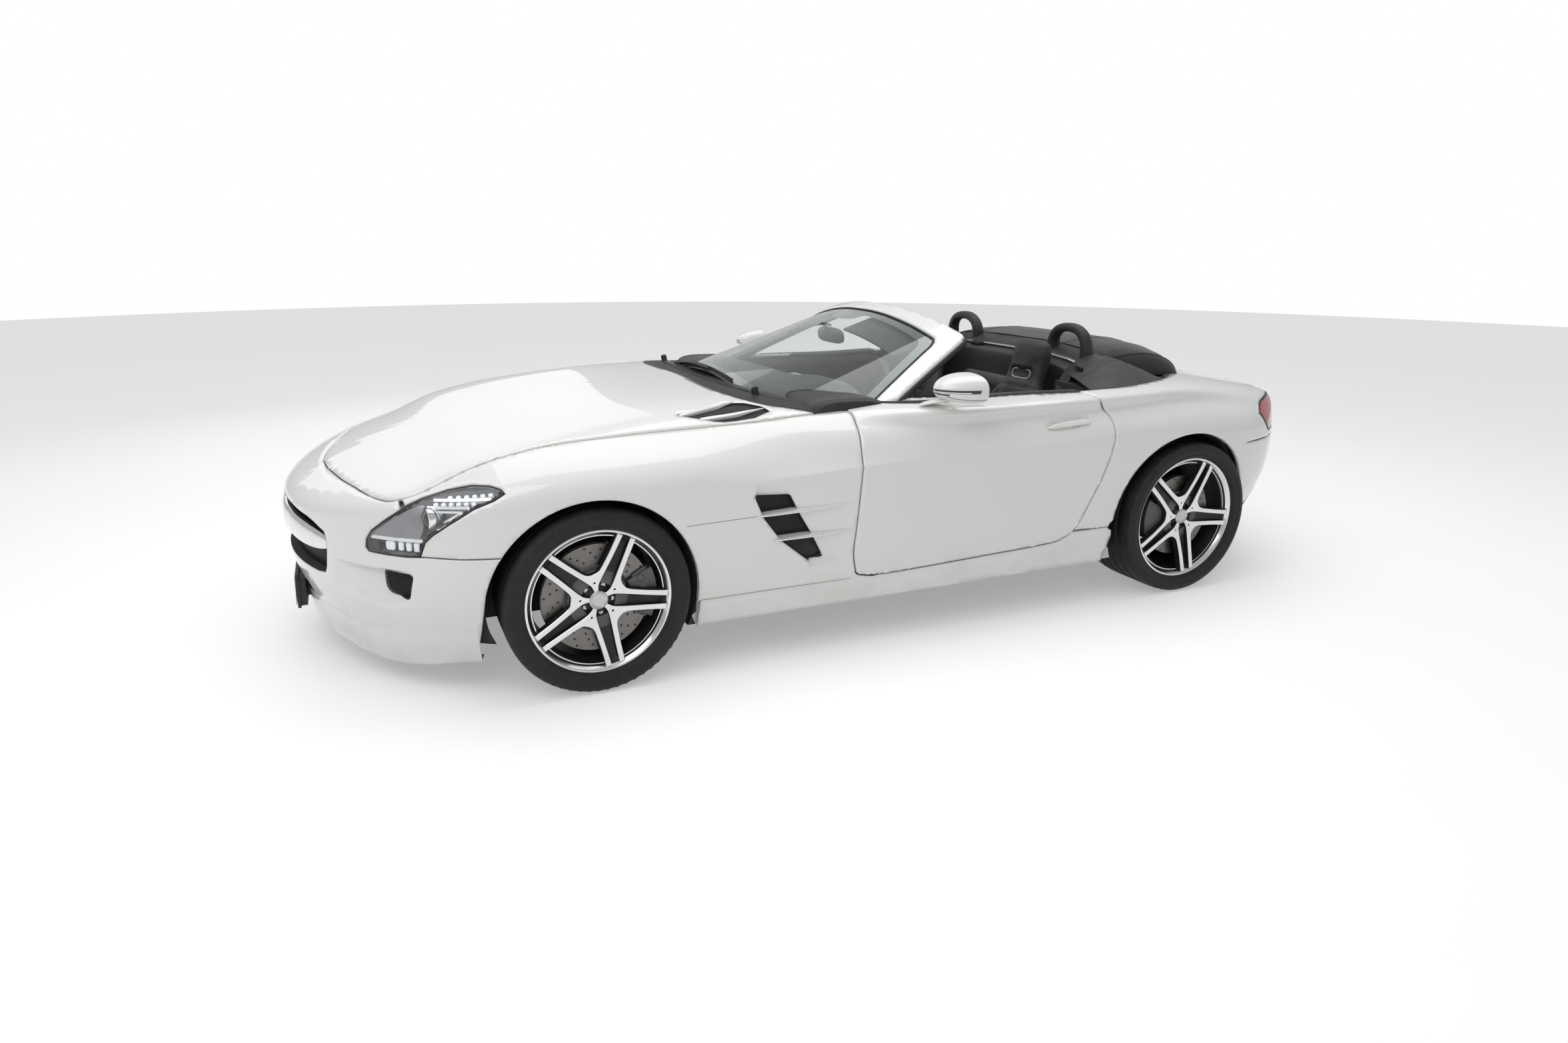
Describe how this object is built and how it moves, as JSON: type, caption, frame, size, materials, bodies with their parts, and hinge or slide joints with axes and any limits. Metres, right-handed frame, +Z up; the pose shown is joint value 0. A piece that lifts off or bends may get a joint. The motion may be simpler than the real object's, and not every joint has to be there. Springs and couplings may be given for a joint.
{
  "type": "roadster convertible",
  "caption": "Low two-seat roadster with a long bonnet, folded soft top, opening doors, bonnet and boot, steered front wheels and turning wheels.",
  "frame": {"origin": "on the ground below the middle of the car's box", "axes": "+Z up, -Y towards the nose, +X towards the car's left side"},
  "size_m": [2.078, 4.638, 1.26],
  "materials": {
    "paint": "gloss pearl",
    "black_trim": "satin black",
    "bright": "polished",
    "alloy": "polished and dark pockets",
    "glass": "clear",
    "lamp": "clear lamp",
    "red_lamp": "red lamp",
    "leather": "black",
    "fabric": "black",
    "tyre": "black",
    "steel": "machined",
    "engine": "cast"
  },
  "bodies": {
    "body": {"tub": "black_trim", "front_bumper": "paint", "grille_mesh": "black_trim", "grille_bar": "bright", "front_fender_l": "paint", "front_fender_r": "paint", "sills": "paint", "rear_body": "paint", "rear_bumper": "paint", "diffuser": "black_trim", "headlamps": "lamp", "tail_lamps": "red_lamp", "windscreen_glass": "glass", "windscreen_frame": "paint", "cowl": "black_trim", "dashboard": "leather", "centre_console": "leather", "cushion_l": "leather", "cushion_r": "leather", "backrest_l": "leather", "backrest_r": "leather", "roll_hoops": "leather", "soft_top": "fabric", "vent_mesh": "black_trim", "vent_blades": "bright", "front_suspension": "steel", "rear_suspension": "steel", "engine": "engine"},
    "bonnet": {"bonnet": "paint"},
    "boot_lid": {"boot_lid": "paint"},
    "door_l": {"door_l": "paint", "mirror_l": "paint"},
    "door_r": {"door_r": "paint", "mirror_r": "paint"},
    "steering_wheel": {"steering_wheel": "leather"},
    "knuckle_fl": {"knuckle_fl": "steel"},
    "knuckle_fr": {"knuckle_fr": "steel"},
    "wheel_fl": {"rim_fl": "alloy", "tyre_fl": "tyre"},
    "wheel_fr": {"rim_fr": "alloy", "tyre_fr": "tyre"},
    "wheel_rl": {"rim_rl": "alloy", "tyre_rl": "tyre"},
    "wheel_rr": {"rim_rr": "alloy", "tyre_rr": "tyre"}
  },
  "joints": [
    {"name": "steer_left", "type": "hinge", "parent": "body", "child": "knuckle_fl", "pos_m": [0.841, -1.31, 0.334], "axis": [0, 0, 1], "range_deg": [-34, 34]},
    {"name": "steer_right", "type": "hinge", "parent": "body", "child": "knuckle_fr", "pos_m": [-0.841, -1.31, 0.334], "axis": [0, 0, 1], "range_deg": [-34, 34]},
    {"name": "steering_wheel_turn", "type": "hinge", "parent": "body", "child": "steering_wheel", "pos_m": [0.385, 0.205, 0.77], "axis": [0, 0.9397, 0.342], "range_deg": [-470, 470]},
    {"name": "wheel_spin_fl", "type": "hinge", "parent": "knuckle_fl", "child": "wheel_fl", "pos_m": [0.841, -1.31, 0.334], "axis": [1, 0, 0], "continuous": true},
    {"name": "wheel_spin_fr", "type": "hinge", "parent": "knuckle_fr", "child": "wheel_fr", "pos_m": [-0.841, -1.31, 0.334], "axis": [1, 0, 0], "continuous": true},
    {"name": "wheel_spin_rl", "type": "hinge", "parent": "body", "child": "wheel_rl", "pos_m": [0.8265, 1.37, 0.3425], "axis": [1, 0, 0], "continuous": true},
    {"name": "wheel_spin_rr", "type": "hinge", "parent": "body", "child": "wheel_rr", "pos_m": [-0.8265, 1.37, 0.3425], "axis": [1, 0, 0], "continuous": true},
    {"name": "door_left", "type": "hinge", "parent": "body", "child": "door_l", "pos_m": [0.966, -0.3, 0.6], "axis": [0, 0, -1], "range_deg": [0, 65]},
    {"name": "door_right", "type": "hinge", "parent": "body", "child": "door_r", "pos_m": [-0.966, -0.3, 0.6], "axis": [0, 0, 1], "range_deg": [0, 65]},
    {"name": "bonnet_lift", "type": "hinge", "parent": "body", "child": "bonnet", "pos_m": [0, -0.338, 0.978], "axis": [-1, 0, 0], "range_deg": [0, 50]},
    {"name": "boot_lift", "type": "hinge", "parent": "body", "child": "boot_lid", "pos_m": [0, 1.712, 0.936], "axis": [1, 0, 0], "range_deg": [0, 60]}
  ],
  "couplings": [
    {"joint": "steer_right", "follows": "steer_left", "ratio": 1},
    {"joint": "steering_wheel_turn", "follows": "steer_left", "ratio": 13.6}
  ]
}
